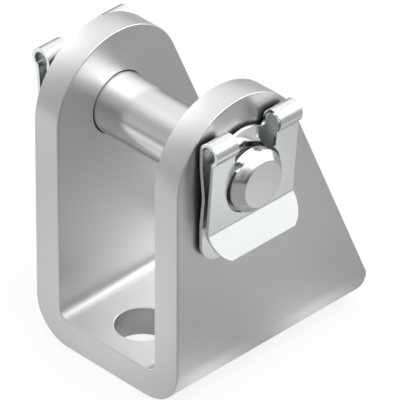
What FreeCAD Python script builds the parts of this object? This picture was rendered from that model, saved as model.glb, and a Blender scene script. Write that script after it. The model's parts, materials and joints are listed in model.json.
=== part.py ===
import FreeCAD, Part
import math
import os

# Cylinder bearing block: a bent steel clevis bracket, a grooved clevis pin and
# two folded spring clips. Millimetres. The origin is the middle of the base's
# underside, +Z is up, X runs along the pin and the straight edges face -Y.

V = FreeCAD.Vector

# bracket
gap_width = 16.1
wall = 4.0
base_length = 32.0
pin_height = 30.0
head_radius = 10.0
bend_inner = 1.5
foot_step = 0.7
edge_break = 0.2
base_hole_dia = 6.6
base_hole_pitch = 20.0

# pin
pin_dia = 8.0
pin_bore_clearance = 0.04
groove_depth = 0.8
groove_width = 1.25
groove_ear_gap = 0.35
groove_edge_break = 0.15
collar_length = 2.35
end_chamfer = 1.0

# clip, seen along the pin
clip_half_width = 6.97
window_half_width = 3.38
slot_clearance = 0.05
slot_mouth = 0.5
slot_top_clearance = 0.15
arch_web = 2.12
arch_side_web = 1.82
arch_corner_radius = 0.5
front_hole_clearance = 0.35
rear_corner_radius = 2.8
lip_corner_radius = 3.0

# clip, seen from the side: distances outwards from its rear leg, and heights over the pin's line
clip_thickness = 0.45
clip_ear_gap = 0.48
rear_bottom_up = -9.73
rear_bend_up = -4.1
rear_bend_radius = 1.0
rear_bow_out = 0.395
rear_bow_up = -0.2
rear_bow_radius = 5.0
rear_top_bend_up = 3.95
roll_over_arch = 0.03
roll_outer_radius = 1.45
roll_wrap_degrees = 48.0
crease_reach = 0.3
crease_radius = 0.35
fold_out = 1.015
fold_web = 0.71
fold_radius = 0.6
lip_out = 2.245
lip_drop = 3.27

# sizes that follow from the ones above
inner_face = gap_width / 2.0
outer_face = inner_face + wall
bend_outer = bend_inner + wall
total_height = pin_height + head_radius
front_edge = -base_length / 2.0
rear_edge = base_length / 2.0
pin_y = front_edge + head_radius
pin_radius = pin_dia / 2.0
bore_radius = pin_radius + pin_bore_clearance
groove_radius = pin_radius - groove_depth
groove_start = outer_face + groove_ear_gap
groove_end = groove_start + groove_width
pin_end = groove_end + collar_length
slot_half = groove_radius + slot_clearance
slot_top_radius = pin_radius + slot_top_clearance
arch_top = pin_height + slot_top_radius + arch_web
arch_radius = window_half_width + arch_side_web
arch_centre_z = arch_top - arch_radius
hole_radius = pin_radius + front_hole_clearance
strip_half = clip_thickness / 2.0
rear_x = outer_face + clip_ear_gap + strip_half
rear_bottom = pin_height + rear_bottom_up
roll_mid_radius = roll_outer_radius - strip_half
roll_centre_x = rear_x + roll_mid_radius
roll_centre_z = arch_top + roll_over_arch
roll_top = roll_centre_z + roll_outer_radius
fold_x = rear_x + fold_out
fold_z = pin_height - hole_radius - fold_web
lip_end_x = fold_x + lip_out
lip_end_z = fold_z - lip_drop
zone_split_x = rear_x + (rear_bow_out + fold_out) / 2.0

# how far cutting tools run past the piece they cut
cut_over = 1.0

# limits for telling edges apart: places that count as one, the shortest line and
# edge that count, and the least angle between faces that makes an edge sharp
same_place = 1e-3
least_line = 1e-4
least_edge = 0.05
sharp_angle = 0.3


def plate(face, vector):
    """One prism grown from a flat face."""
    return face.extrude(vector)


def polygon_face(points):
    """A flat face with straight sides through the given points."""
    closed = list(points) + [points[0]]
    return Part.Face(Part.makePolygon(closed))


def axis_cylinder(radius, z, x_from, x_to):
    """Cylinder along X over the pin's line."""
    return Part.makeCylinder(radius, x_to - x_from, V(x_from, pin_y, z), V(1, 0, 0))


def round_long_edges(block, radius, level):
    """Round the two edges that run along Y at one height."""
    picked = []
    for edge in block.Edges:
        a = edge.Vertexes[0].Point
        b = edge.Vertexes[1].Point
        along = abs(a.x - b.x) < same_place and abs(a.z - b.z) < same_place
        if along and abs(a.z - level) < same_place:
            picked.append(edge)
    return block.makeFillet(radius, picked)


def channel():
    """The U section of the bracket over its whole length."""
    outer = Part.makeBox(2 * outer_face, base_length, total_height, V(-outer_face, front_edge, 0))
    outer = round_long_edges(outer, bend_outer, 0.0)
    inner_height = total_height - wall + cut_over
    inner = Part.makeBox(2 * inner_face, base_length + 2 * cut_over, inner_height,
                         V(-inner_face, front_edge - cut_over, wall))
    inner = round_long_edges(inner, bend_inner, wall)
    return outer.cut(inner)


def ear_outline():
    """Side outline of the ears: straight front edge, round head, slanted back."""
    head = V(0, pin_y, pin_height)
    foot = V(0, rear_edge, wall + foot_step)
    reach = foot - head
    spread = math.acos(head_radius / reach.Length)
    heading = math.atan2(reach.z, reach.y) + spread
    tangent = V(0, head.y + head_radius * math.cos(heading), head.z + head_radius * math.sin(heading))
    top_turn = (math.pi + heading) / 2.0
    top = V(0, head.y + head_radius * math.cos(top_turn), head.z + head_radius * math.sin(top_turn))
    front_low = V(0, front_edge, 0)
    front_high = V(0, front_edge, pin_height)
    rear_low = V(0, rear_edge, 0)
    edges = [
        Part.makeLine(front_low, front_high),
        Part.Arc(front_high, top, tangent).toShape(),
        Part.makeLine(tangent, foot),
        Part.makeLine(foot, rear_low),
        Part.makeLine(rear_low, front_low),
    ]
    return Part.Face(Part.Wire(edges))


def sharp_edges(solid):
    """Edges where the two faces beside them meet at a real angle."""
    picked = []
    for edge in solid.Edges:
        if edge.Length < least_edge:
            continue
        sides = [face for face in solid.Faces if any(edge.isSame(other) for other in face.Edges)]
        if len(sides) != 2:
            continue
        middle = edge.valueAt((edge.FirstParameter + edge.LastParameter) / 2.0)
        normals = []
        for face in sides:
            u, v = face.Surface.parameter(middle)
            normals.append(face.normalAt(u, v))
        if normals[0].getAngle(normals[1]) > sharp_angle:
            picked.append(edge)
    return picked


def bracket():
    """Bent bracket with its two base holes and the pin bore through both ears."""
    outline = ear_outline()
    outline.translate(V(-outer_face - cut_over, 0, 0))
    side = plate(outline, V(2 * (outer_face + cut_over), 0, 0))
    body = channel().common(side)
    for side_y in (-base_hole_pitch / 2.0, base_hole_pitch / 2.0):
        below = V(0, side_y, -cut_over)
        body = body.cut(Part.makeCylinder(base_hole_dia / 2.0, wall + 2 * cut_over, below, V(0, 0, 1)))
    bore = axis_cylinder(bore_radius, pin_height, -outer_face - cut_over, outer_face + cut_over)
    body = body.cut(bore).removeSplitter()
    return body.makeChamfer(edge_break, sharp_edges(body))


def clevis_pin():
    """Turned pin with a groove and a chamfer at each end."""
    half = [
        (groove_start - groove_edge_break, pin_radius),
        (groove_start, pin_radius - groove_edge_break),
        (groove_start, groove_radius),
        (groove_end, groove_radius),
        (groove_end, pin_radius - groove_edge_break),
        (groove_end + groove_edge_break, pin_radius),
        (pin_end - end_chamfer, pin_radius),
        (pin_end, pin_radius - end_chamfer),
        (pin_end, 0.0),
    ]
    points = [V(-x, pin_y, pin_height + r) for x, r in reversed(half)]
    points += [V(x, pin_y, pin_height + r) for x, r in half]
    face = polygon_face(points)
    return face.revolve(V(0, pin_y, pin_height), V(1, 0, 0), 360.0)


def offset_bend(bend, sign_side):
    """Arc of one bend, moved half a strip to one side."""
    begin, end, centre, sign, radius, turn = bend
    grown = radius - sign * sign_side * strip_half
    a = begin - centre
    angle = math.atan2(a.z, a.x)
    places = []
    for part in (0.0, 0.5, 1.0):
        at = angle + turn * part
        places.append(V(centre.x + grown * math.cos(at), 0, centre.z + grown * math.sin(at)))
    return Part.Arc(places[0], places[1], places[2]).toShape()


def strip_section(corners):
    """Face of a bent strip: corner points with bend radii, offset both ways."""
    sides = ([], [])
    bends = []
    for index in range(1, len(corners) - 1):
        ax, az, _ = corners[index - 1]
        bx, bz, radius = corners[index]
        cx, cz, _ = corners[index + 1]
        inward = V(bx - ax, 0, bz - az).normalize()
        onward = V(cx - bx, 0, cz - bz).normalize()
        sideways = inward.x * onward.z - inward.z * onward.x
        turn = math.atan2(sideways, inward.dot(onward))
        reach = radius * math.tan(abs(turn) / 2.0)
        corner = V(bx, 0, bz)
        begin = corner - inward * reach
        end = corner + onward * reach
        sign = 1.0 if turn > 0 else -1.0
        left = V(-inward.z, 0, inward.x)
        centre = begin + left * (sign * radius)
        bends.append((begin, end, centre, sign, radius, turn))
    first = V(corners[0][0], 0, corners[0][1])
    last = V(corners[-1][0], 0, corners[-1][1])
    starts = [first] + [bend[1] for bend in bends]
    ends = [bend[0] for bend in bends] + [last]
    for side, sign_side in ((0, 1.0), (1, -1.0)):
        for index, (a, b) in enumerate(zip(starts, ends)):
            along = b - a
            if along.Length > least_line:
                along.normalize()
                shift = V(-along.z, 0, along.x) * (sign_side * strip_half)
                sides[side].append(Part.makeLine(a + shift, b + shift))
            if index < len(bends):
                sides[side].append(offset_bend(bends[index], sign_side))
    caps = []
    for index in (0, -1):
        one = sides[0][index].Vertexes[index].Point
        two = sides[1][index].Vertexes[index].Point
        caps.append(Part.makeLine(one, two))
    edges = Part.__sortEdges__(sides[0] + sides[1] + caps)
    return Part.Face(Part.Wire(edges))


def clip_corners():
    """Middle line of the folded clip, from the rear tab round to the lip."""
    wrap = math.radians(roll_wrap_degrees)
    top_z = roll_centre_z + roll_mid_radius
    front_x = roll_centre_x + roll_mid_radius
    turn_z = roll_centre_z - roll_mid_radius * math.tan(wrap / 2.0)
    reach = roll_mid_radius * math.tan(wrap / 2.0) + crease_reach
    crease_x = front_x - reach * math.sin(wrap)
    crease_z = turn_z - reach * math.cos(wrap)
    return [
        (rear_x, rear_bottom, 0.0),
        (rear_x, pin_height + rear_bend_up, rear_bend_radius),
        (rear_x + rear_bow_out, pin_height + rear_bow_up, rear_bow_radius),
        (rear_x, pin_height + rear_top_bend_up, rear_bend_radius),
        (rear_x, top_z, roll_mid_radius),
        (front_x, top_z, roll_mid_radius),
        (front_x, turn_z, roll_mid_radius),
        (crease_x, crease_z, crease_radius),
        (fold_x, fold_z, fold_radius),
        (lip_end_x, lip_end_z, 0.0),
    ]


def across(points, x_from, x_to):
    """Prism along X from points given as distance from the pin and height."""
    face = polygon_face([V(x_from, pin_y + y, z) for y, z in points])
    return plate(face, V(x_to - x_from, 0, 0))


def band(half, low, high, x_from, x_to):
    """Block across the clip, centred on the pin's line."""
    return across([(-half, low), (half, low), (half, high), (-half, high)], x_from, x_to)


def rounded_box(half, low, high, radius, x_from, x_to):
    """Block across the clip with its two lower corners rounded."""
    block = band(half, low, high, x_from, x_to)
    picked = []
    for edge in block.Edges:
        a = edge.Vertexes[0].Point
        b = edge.Vertexes[1].Point
        on_floor = abs(a.z - low) < same_place and abs(b.z - low) < same_place
        if on_floor and abs(a.y - b.y) < same_place:
            picked.append(edge)
    return block.makeFillet(radius, picked)


def fork_slot(x_from, x_to):
    """Slot of the rear leg, open below, with a flared mouth and a round top."""
    low = rear_bottom - cut_over
    mouth_top = rear_bottom + 2.0 * slot_mouth
    mouth_half = slot_half + slot_mouth
    slot = band(slot_half, low, pin_height, x_from, x_to)
    top = band(slot_half, pin_height, arch_top, x_from, x_to)
    top = top.common(axis_cylinder(slot_top_radius, pin_height, x_from, x_to))
    mouth = across([(-mouth_half, low), (mouth_half, low), (mouth_half, rear_bottom), (slot_half, mouth_top),
                    (-slot_half, mouth_top), (-mouth_half, rear_bottom)], x_from, x_to)
    return slot.fuse(top).fuse(mouth)


def soften_arch_corners(shape):
    """Round the two inside corners where the arch runs into the rolls."""
    level = arch_centre_z + math.sqrt(arch_radius ** 2 - window_half_width ** 2)
    picked = []
    for edge in shape.Edges:
        a = edge.Vertexes[0].Point
        b = edge.Vertexes[-1].Point
        on_level = abs(a.z - level) < same_place and abs(b.z - level) < same_place
        on_side = abs(abs(a.y - pin_y) - window_half_width) < same_place and abs(a.y - b.y) < same_place
        if on_level and on_side:
            picked.append(edge)
    return shape.makeFillet(arch_corner_radius, picked)


def rear_zone():
    """What stays of the rear leg: the two prongs, the arch over the pin and the rolls."""
    x_from = outer_face
    x_to = zone_split_x
    high = roll_top + cut_over
    shape = rounded_box(clip_half_width, rear_bottom, high, rear_corner_radius, x_from, x_to)
    window = band(window_half_width, arch_centre_z, high + cut_over, x_from, x_to)
    arch = axis_cylinder(arch_radius, arch_centre_z, x_from, x_to)
    shape = soften_arch_corners(shape.cut(window.cut(arch)))
    return shape.cut(fork_slot(x_from, x_to))


def front_zone():
    """What stays of the front leg: both rolls, the plate with its necked hole, and the lip."""
    x_from = zone_split_x
    x_to = lip_end_x + cut_over
    high = roll_top + cut_over
    lip_low = lip_end_z - strip_half / 2.0
    shape = rounded_box(clip_half_width, lip_low, high, lip_corner_radius, x_from, x_to)
    window = band(window_half_width, pin_height, high + cut_over, x_from, x_to)
    return shape.cut(window).cut(axis_cylinder(hole_radius, pin_height, x_from, x_to))


def clip():
    """Right-hand spring clip folded from one strip."""
    section = strip_section(clip_corners())
    section.translate(V(0, pin_y - clip_half_width, 0))
    strip = plate(section, V(0, 2 * clip_half_width, 0))
    zones = rear_zone().fuse(front_zone())
    return strip.common(zones).removeSplitter()


def save(name, shape):
    """Write one node after checking it is one closed solid."""
    solids = shape.Solids
    if len(solids) != 1 or not shape.isValid():
        raise ValueError(name + " is not one valid solid")
    solids[0].exportStep("parts/" + name + ".step")
    box = solids[0].BoundBox
    print(name, "volume", round(solids[0].Volume, 2), "x", round(box.XMin, 2), round(box.XMax, 2),
          "y", round(box.YMin, 2), round(box.YMax, 2), "z", round(box.ZMin, 2), round(box.ZMax, 2))


os.makedirs("parts", exist_ok=True)
right = clip()
left = right.mirror(V(0, 0, 0), V(1, 0, 0))
save("bracket", bracket())
save("clevis_pin", clevis_pin())
save("clip_right", right)
save("clip_left", left)
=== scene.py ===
import json
import math
import bpy
from mathutils import Matrix, Vector


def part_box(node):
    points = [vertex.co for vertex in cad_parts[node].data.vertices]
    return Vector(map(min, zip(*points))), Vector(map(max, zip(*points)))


# Cylinder bearing block: materials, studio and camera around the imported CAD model.
# Lengths are in metres and places are in the CAD model's own frame.

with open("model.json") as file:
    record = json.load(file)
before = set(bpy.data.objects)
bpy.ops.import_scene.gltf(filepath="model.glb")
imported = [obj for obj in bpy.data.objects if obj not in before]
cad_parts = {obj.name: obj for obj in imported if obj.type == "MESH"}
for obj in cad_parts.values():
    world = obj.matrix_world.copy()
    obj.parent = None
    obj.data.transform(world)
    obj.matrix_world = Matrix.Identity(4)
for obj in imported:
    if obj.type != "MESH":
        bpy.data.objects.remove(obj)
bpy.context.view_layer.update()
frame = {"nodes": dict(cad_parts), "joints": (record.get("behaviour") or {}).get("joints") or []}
nodes = frame["nodes"]
joints = {joint["name"]: joint for joint in frame["joints"]}
scene = bpy.context.scene

# places on the part that the materials follow
SHEET_THICKNESS = 0.004
EAR_INNER_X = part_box("bracket")[1].x - SHEET_THICKNESS
PIN_MIDDLE = joints["pin_turn"]["pos_m"]
PIN_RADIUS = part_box("clevis_pin")[1].z - PIN_MIDDLE[2]
GROOVE_X = joints["clip_right_turn"]["pos_m"][0]


# node helpers


def feed(tree, source, socket):
    """Link a socket to its source, or set it where the source is a plain value."""
    if isinstance(source, bpy.types.NodeSocket):
        tree.links.new(source, socket)
    else:
        socket.default_value = source


def put(tree, kind, inputs=None, **properties):
    """A node with its properties set and its inputs fed."""
    node = tree.nodes.new(kind)
    for name, value in properties.items():
        setattr(node, name, value)
    for name, source in (inputs or {}).items():
        feed(tree, source, node.inputs[name])
    return node


def arith(tree, operation, *operands):
    """One math node's result."""
    return put(tree, "ShaderNodeMath", dict(enumerate(operands)), operation=operation).outputs[0]


def vector_arith(tree, operation, first, second):
    """The outputs of one vector math node."""
    return put(tree, "ShaderNodeVectorMath", {0: first, 1: second}, operation=operation).outputs


def mixed(tree, first, second, share):
    """A share of the first value, and the rest of the second."""
    first_part = arith(tree, "MULTIPLY", first, share)
    second_part = arith(tree, "MULTIPLY", second, 1.0 - share)
    return arith(tree, "ADD", first_part, second_part)


def ramp(tree, value, span, result, shape="SMOOTHSTEP"):
    """Value that goes from one result to the other as the input crosses a span."""
    names = ("Value", "From Min", "From Max", "To Min", "To Max")
    inputs = dict(zip(names, (value, *span, *result)))
    return put(tree, "ShaderNodeMapRange", inputs, interpolation_type=shape).outputs["Result"]


def mix_shaders(tree, factor, first, second, output_kind):
    """Mix two shaders into the surface of the tree's output."""
    inputs = {0: factor, 1: first.outputs[0], 2: second.outputs[0]}
    mix = put(tree, "ShaderNodeMixShader", inputs)
    put(tree, output_kind, {"Surface": mix.outputs[0]})


def opaque(colour):
    """Colour with full alpha."""
    return (*colour, 1.0)


def heading(azimuth, elevation):
    """Unit vector at an azimuth from +X towards +Y and an elevation, both in degrees."""
    around = math.radians(azimuth)
    above = math.radians(elevation)
    level = math.cos(above)
    return Vector((math.cos(around) * level, math.sin(around) * level, math.sin(above)))


# camera at the photograph's angle, its azimuth counted from -Y towards +X

CAMERA_AZIMUTH = 45.247
CAMERA_ELEVATION = 34.554
CAMERA_ROLL = 0.269
CAMERA_DISTANCE = 0.78343
CAMERA_LENS = 595.6
SENSOR_WIDTH = 36.0
CAMERA_TARGET = Vector((0.0, -0.002, 0.018))
CAMERA_SHIFT_RIGHT = 0.0011
CAMERA_SHIFT_UP = 0.000015


def add_camera():
    """Camera with the long lens that the photograph's perspective asks for."""
    roll = math.radians(CAMERA_ROLL)
    back = heading(CAMERA_AZIMUTH - 90.0, CAMERA_ELEVATION)
    level = heading(CAMERA_AZIMUTH, 0.0)
    rise = back.cross(level)
    right = level * math.cos(roll) + rise * math.sin(roll)
    up = rise * math.cos(roll) - level * math.sin(roll)
    aim = CAMERA_TARGET + right * CAMERA_SHIFT_RIGHT + up * CAMERA_SHIFT_UP
    data = bpy.data.cameras.new("camera")
    data.lens = CAMERA_LENS
    data.sensor_width = SENSOR_WIDTH
    camera = bpy.data.objects.new("camera", data)
    scene.collection.objects.link(camera)
    turn = Matrix((right, up, back)).transposed().to_4x4()
    camera.matrix_world = Matrix.Translation(aim + back * CAMERA_DISTANCE) @ turn
    scene.camera = camera


# studio

WHITE = (1.0, 1.0, 1.0, 1.0)

# soft lights on the sky: azimuth from +X towards +Y and elevation in degrees, tightness, strength
SOFT_LIGHTS = {
    "left window": (181, 20, 14, 4.1),
    "right lamp": (45, 42, 20, 1.9),
    "overhead": (340, 80, 6, 1.15),
    "over the right ear": (358, 56, 20, 3.1),
    "back": (130, 38, 8, 0.8),
    "back low": (76, 22, 8, 1.9),
    "left high": (208, 52, 10, 0.45),
    "right horizon": (20, 3, 10, 0.36),
    "front horizon": (240, 4, 8, 0.58),
    "front": (305, 30, 12, 0.7),
}


def soft_light(tree, direction, towards, tightness, strength):
    """Light that has its strength in one direction and fades smoothly round it."""
    nearness = vector_arith(tree, "DOT_PRODUCT", direction, towards * tightness)["Value"]
    power = arith(tree, "ADD", nearness, math.log(strength) - tightness)
    return arith(tree, "EXPONENT", power)


def add_world():
    """White surroundings for the camera, and soft lights round the object."""
    world = bpy.data.worlds.new("studio")
    scene.world = world
    world.use_nodes = True
    tree = world.node_tree
    tree.nodes.clear()
    direction = put(tree, "ShaderNodeTexCoord").outputs["Generated"]
    total = 0.0
    for azimuth, elevation, tightness, strength in SOFT_LIGHTS.values():
        light = soft_light(tree, direction, heading(azimuth, elevation), tightness, strength)
        total = arith(tree, "ADD", light, total)
    studio = put(tree, "ShaderNodeBackground", {"Color": WHITE, "Strength": total})
    white = put(tree, "ShaderNodeBackground", {"Color": WHITE, "Strength": 1.0})
    from_camera = put(tree, "ShaderNodeLightPath").outputs["Is Camera Ray"]
    mix_shaders(tree, from_camera, studio, white, "ShaderNodeOutputWorld")


FLOOR_SIZE = 3.0
FLOOR_DROP = 0.00002
FLOOR_COLOUR = (0.9, 0.9, 0.9)

# share of plain white in the floor that the camera sees; the rest keeps the object's shadow
FLOOR_GLOW = 0.85

# painted light that only the metal mirrors on the floor: an even level, and soft patches on it,
# each with the x and y of its middle, its radius and its strength, below zero for a painted shade
FLOOR_LEVEL = 0.41
FLOOR_PATCHES = {
    "shade round the block": (0.0, 0.0, 0.02, -0.2),
    "shade in the front hole": (0.0, -0.01, 0.004, -0.08),
    "front left": (-0.07, -0.07, 0.05, 0.58),
    "near front left": (-0.01, -0.031, 0.02, 0.44),
    "front foot": (0.0, -0.019, 0.008, 0.18),
    "foot of the right ear, front": (0.012, -0.009, 0.007, 0.62),
    "foot of the right ear, rear": (0.012, 0.009, 0.007, 0.62),
    "right": (0.046, 0.016, 0.018, 0.38),
}


def soft_patch(tree, place, centre, radius, strength):
    """Light or shade that has its strength at a point of the floor and fades smoothly round it."""
    apart = vector_arith(tree, "DISTANCE", place, centre)["Value"]
    square = arith(tree, "MULTIPLY", apart, apart)
    fade = arith(tree, "EXPONENT", arith(tree, "MULTIPLY", square, -1.0 / (radius * radius)))
    return arith(tree, "MULTIPLY", fade, strength)


def floor_material():
    """White and matt for the camera, glowing with painted light and shade for what mirrors it, and matt
    for other light.
    """
    material = bpy.data.materials.new("floor")
    material.use_nodes = True
    tree = material.node_tree
    tree.nodes.clear()
    place = put(tree, "ShaderNodeTexCoord").outputs["Object"]
    lit = FLOOR_LEVEL
    for x, y, radius, strength in FLOOR_PATCHES.values():
        lit = arith(tree, "ADD", lit, soft_patch(tree, place, (x, y, 0.0), radius, strength))
    path = put(tree, "ShaderNodeLightPath").outputs
    mirrored = arith(tree, "MAXIMUM", path["Is Glossy Ray"], path["Is Transmission Ray"])
    seen = arith(tree, "MULTIPLY", path["Is Camera Ray"], FLOOR_GLOW)
    glow = arith(tree, "ADD", path["Is Camera Ray"], arith(tree, "MULTIPLY", mirrored, lit))
    matt = put(tree, "ShaderNodeBsdfDiffuse", {"Color": opaque(FLOOR_COLOUR)})
    glowing = put(tree, "ShaderNodeEmission", {"Color": WHITE, "Strength": glow})
    share = arith(tree, "MAXIMUM", seen, mirrored)
    mix_shaders(tree, share, matt, glowing, "ShaderNodeOutputMaterial")
    return material


def add_floor():
    """Plain pale floor, a hair under the block."""
    half = FLOOR_SIZE / 2.0
    corners = [(-half, -half, 0.0), (half, -half, 0.0), (half, half, 0.0), (-half, half, 0.0)]
    mesh = bpy.data.meshes.new("floor")
    mesh.from_pydata(corners, [], [(0, 1, 2, 3)])
    mesh.materials.append(floor_material())
    floor = bpy.data.objects.new("floor", mesh)
    scene.collection.objects.link(floor)
    floor.location.z = -FLOOR_DROP


# materials

# noise stays mostly within this span
NOISE_SPAN = (0.3, 0.7)

# how far the painted shade of recesses reaches, and the finer painted shade of creases
RECESS_REACH = 0.003
CREASE_REACH = 0.00035
OPENNESS_SAMPLES = 8

# where the painted shade of recesses is lifted: on the ears' inner faces, round the bore, on the pin's
# ends
EAR_MARGIN = 0.0005
BORE_MARGIN = 0.0006
MASK_FADE = 0.001
PIN_END_FADE = 0.0008
PIN_TOP_SPAN = (0.001, 0.003)

# how much of it is lifted close round the pin, and on the upper side of the pin's ends
BORE_LIFT = 0.8
PIN_TOP_LIFT = 0.4

BRACKET_COLOUR = (0.735, 0.735, 0.735)
BRACKET_ROUGHNESS = 0.4
PIN_COLOUR = (0.757, 0.76, 0.763)
PIN_ROUGHNESS = 0.18
CLIP_COLOUR = (0.878, 0.904, 0.912)
CLIP_ROUGHNESS = 0.125


def metal(name, colour, roughness):
    """Start of a metal: its material, tree and shader, and the object coordinates."""
    material = bpy.data.materials.new(name)
    material.use_nodes = True
    tree = material.node_tree
    tree.nodes.clear()
    inputs = {"Base Color": opaque(colour), "Metallic": 1.0, "Roughness": roughness}
    shader = put(tree, "ShaderNodeBsdfPrincipled", inputs)
    put(tree, "ShaderNodeOutputMaterial", {"Surface": shader.outputs[0]})
    place = put(tree, "ShaderNodeTexCoord").outputs["Object"]
    return material, tree, shader, place


def noise(tree, place, grains, detail=2.0, roughness=0.5):
    """Noise from 0 to 1, with its number of grains per metre along each axis."""
    finer = vector_arith(tree, "MULTIPLY", place, grains)["Vector"]
    inputs = {"Vector": finer, "Scale": 1.0, "Detail": detail, "Roughness": roughness}
    return put(tree, "ShaderNodeTexNoise", inputs).outputs["Fac"]


def openness(tree, reach):
    """Share of the surroundings within reach that is open, from 0 to 1."""
    inputs = {"Distance": reach}
    return put(tree, "ShaderNodeAmbientOcclusion", inputs, samples=OPENNESS_SAMPLES).outputs["AO"]


def painted_recess_shade(tree, span, darkest):
    """Painted shade that falls to its darkest in narrow recesses, over a span of openness."""
    return ramp(tree, openness(tree, RECESS_REACH), span, (darkest, 1.0))


def swing_roughness(tree, value, middle, swing):
    """Roughness that swings round its middle with a noise value."""
    return ramp(tree, value, NOISE_SPAN, (middle - swing, middle + swing), shape="LINEAR")


def tint(tree, shader, value, colour, swing, shade):
    """Base colour that swings with a noise value, darkened by a painted shade from 0 to 1."""
    darker = opaque([channel * (1.0 - swing) for channel in colour])
    lighter = opaque([channel * (1.0 + swing) for channel in colour])
    inputs = {"Factor": value, "A": darker, "B": lighter}
    swung = put(tree, "ShaderNodeMix", inputs, data_type="RGBA").outputs["Result"]
    shaded_colour = put(tree, "ShaderNodeVectorMath", {0: swung, "Scale": shade}, operation="SCALE")
    feed(tree, shaded_colour.outputs["Vector"], shader.inputs["Base Color"])


def relief(tree, shader, value, depth):
    """Bump of a value, with its full height in metres."""
    bump = put(tree, "ShaderNodeBump", {"Strength": 1.0, "Distance": depth, "Height": value})
    feed(tree, bump.outputs["Normal"], shader.inputs["Normal"])


def from_pin(tree, place):
    """X of a place, its distance from the pin's axis, and its height over that axis."""
    shifted = vector_arith(tree, "SUBTRACT", place, PIN_MIDDLE)["Vector"]
    split = put(tree, "ShaderNodeSeparateXYZ", {0: shifted}).outputs
    squares = [arith(tree, "MULTIPLY", split[axis], split[axis]) for axis in ("Y", "Z")]
    radius = arith(tree, "SQRT", arith(tree, "ADD", *squares))
    return split["X"], radius, split["Z"]


def between_ears(tree, x):
    """One from ear to ear, and nothing beyond their inner faces."""
    start = EAR_INNER_X + EAR_MARGIN
    return ramp(tree, arith(tree, "ABSOLUTE", x), (start, start + MASK_FADE), (1.0, 0.0))


def round_bore(tree, radius):
    """The lift of the painted shade close round the pin, and nothing beyond."""
    start = PIN_RADIUS + BORE_MARGIN
    return ramp(tree, radius, (start, start + MASK_FADE), (BORE_LIFT, 0.0))


def beyond_groove(tree, x, height):
    """Lift of the painted shade: one on the pin's ends beyond the clips' grooves, and less on their
    upper side, which keeps more painted shade there.
    """
    ends = ramp(tree, arith(tree, "ABSOLUTE", x), (GROOVE_X, GROOVE_X + PIN_END_FADE), (0.0, 1.0))
    return arith(tree, "MULTIPLY", ends, ramp(tree, height, PIN_TOP_SPAN, (1.0, PIN_TOP_LIFT)))


def bracket_steel():
    """Satin plated sheet steel: fine grain, faint rolling lines and soft cloudiness, with painted shade
    in its recesses.
    """
    material, tree, shader, place = metal("bracket_steel", BRACKET_COLOUR, BRACKET_ROUGHNESS)
    grain = noise(tree, place, grains=(9000.0, 9000.0, 9000.0), detail=3.0, roughness=0.6)
    rolled = noise(tree, place, grains=(5200.0, 5200.0, 260.0))
    clouds = noise(tree, place, grains=(170.0, 170.0, 170.0), detail=3.0, roughness=0.55)
    fine = mixed(tree, grain, rolled, share=0.65)
    uneven = mixed(tree, fine, clouds, share=0.5)
    sheen = swing_roughness(tree, uneven, BRACKET_ROUGHNESS, swing=0.045)
    feed(tree, sheen, shader.inputs["Roughness"])
    x, radius = from_pin(tree, place)[:2]
    # painted shade in recesses, lifted between the ears and close round the bore
    lit = arith(tree, "MAXIMUM", between_ears(tree, x), round_bore(tree, radius))
    shade = arith(tree, "MAXIMUM", painted_recess_shade(tree, span=(0.15, 0.5), darkest=0.1), lit)
    tint(tree, shader, uneven, BRACKET_COLOUR, swing=0.05, shade=shade)
    relief(tree, shader, fine, depth=0.0000022)
    return material


def pin_steel():
    """Turned and ground bar: fine lines round the axis, rings on the end faces, and painted shade in
    its recesses at the bores and grooves and on the upper side of its ends.
    """
    material, tree, shader, place = metal("pin_steel", PIN_COLOUR, PIN_ROUGHNESS)
    x, radius, height = from_pin(tree, place)
    turned = put(tree, "ShaderNodeCombineXYZ", {"X": x, "Y": radius}).outputs[0]
    fine = noise(tree, turned, grains=(16000.0, 9000.0, 0.0), roughness=0.6)
    broad = noise(tree, turned, grains=(2600.0, 2600.0, 0.0))
    specks = noise(tree, place, grains=(3500.0, 3500.0, 3500.0))
    lines = mixed(tree, fine, broad, share=0.6)
    uneven = mixed(tree, lines, specks, share=0.7)
    sheen = swing_roughness(tree, uneven, PIN_ROUGHNESS, swing=0.03)
    feed(tree, sheen, shader.inputs["Roughness"])
    # painted shade in recesses, lifted between the ears and on the ends beyond the grooves
    lit = arith(tree, "MAXIMUM", between_ears(tree, x), beyond_groove(tree, x, height))
    shade = arith(tree, "MAXIMUM", painted_recess_shade(tree, span=(0.05, 0.32), darkest=0.05), lit)
    tint(tree, shader, uneven, PIN_COLOUR, swing=0.03, shade=shade)
    relief(tree, shader, lines, depth=0.0000009)
    return material


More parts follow.
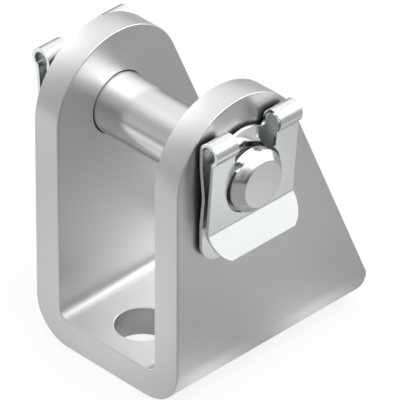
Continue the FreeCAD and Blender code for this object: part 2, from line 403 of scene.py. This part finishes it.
def clip_steel():
    """Bright rolled spring strip: fine lines along the strip, soft spots, and painted shade in creases
    and recesses, which are also rougher.
    """
    material, tree, shader, place = metal("clip_steel", CLIP_COLOUR, CLIP_ROUGHNESS)
    lines = noise(tree, place, grains=(300.0, 12000.0, 300.0), roughness=0.6)
    spots = noise(tree, place, grains=(700.0, 700.0, 700.0))
    uneven = mixed(tree, lines, spots, share=0.6)
    # painted shade along fine creases and in recesses, which also makes them rougher
    painted_crease_shade = ramp(tree, openness(tree, CREASE_REACH), span=(0.75, 0.97), result=(0.5, 1.0))
    shade = arith(tree, "MULTIPLY", painted_recess_shade(tree, span=(0.03, 0.3), darkest=0.5), painted_crease_shade)
    tint(tree, shader, uneven, CLIP_COLOUR, swing=0.02, shade=shade)
    softer = ramp(tree, shade, span=(0.5, 1.0), result=(0.5, 0.0))
    sheen = swing_roughness(tree, uneven, CLIP_ROUGHNESS, swing=0.035)
    feed(tree, arith(tree, "ADD", sheen, softer), shader.inputs["Roughness"])
    relief(tree, shader, lines, depth=0.0000004)
    return material


# pieces

# widths of the softly broken edges, which are too fine for the CAD solids
PIN_EDGE = 0.00006
CLIP_EDGE = 0.00005
EDGE_STEPS = 2
EDGE_ANGLE = math.radians(35.0)

WELD_DISTANCE = 0.000001
FLAT_ANGLE = math.radians(0.5)
NORMAL_WEIGHT = 90


def modify(piece, kind, **values):
    """Give a piece a modifier with its values set."""
    modifier = piece.modifiers.new(kind.lower(), kind)
    for name, value in values.items():
        setattr(modifier, name, value)


def dress(name, material, edge=None):
    """Give a CAD node its material, smooth shading and, where it has one, a broken edge."""
    piece = nodes[name]
    piece.data.materials.clear()
    piece.data.materials.append(material)
    for polygon in piece.data.polygons:
        polygon.use_smooth = True
    modify(piece, "WELD", merge_threshold=WELD_DISTANCE)
    modify(piece, "DECIMATE", decimate_type="DISSOLVE", angle_limit=FLAT_ANGLE)
    if edge:
        modify(piece, "BEVEL", width=edge, segments=EDGE_STEPS, limit_method="ANGLE",
               angle_limit=EDGE_ANGLE, use_clamp_overlap=False)
    modify(piece, "WEIGHTED_NORMAL", mode="FACE_AREA", weight=NORMAL_WEIGHT, keep_sharp=False)


add_camera()
add_world()
add_floor()
dress("bracket", bracket_steel())
dress("clevis_pin", pin_steel(), PIN_EDGE)
clip_material = clip_steel()
for clip in ("clip_right", "clip_left"):
    dress(clip, clip_material, CLIP_EDGE)
scene.view_settings.view_transform = "Standard"
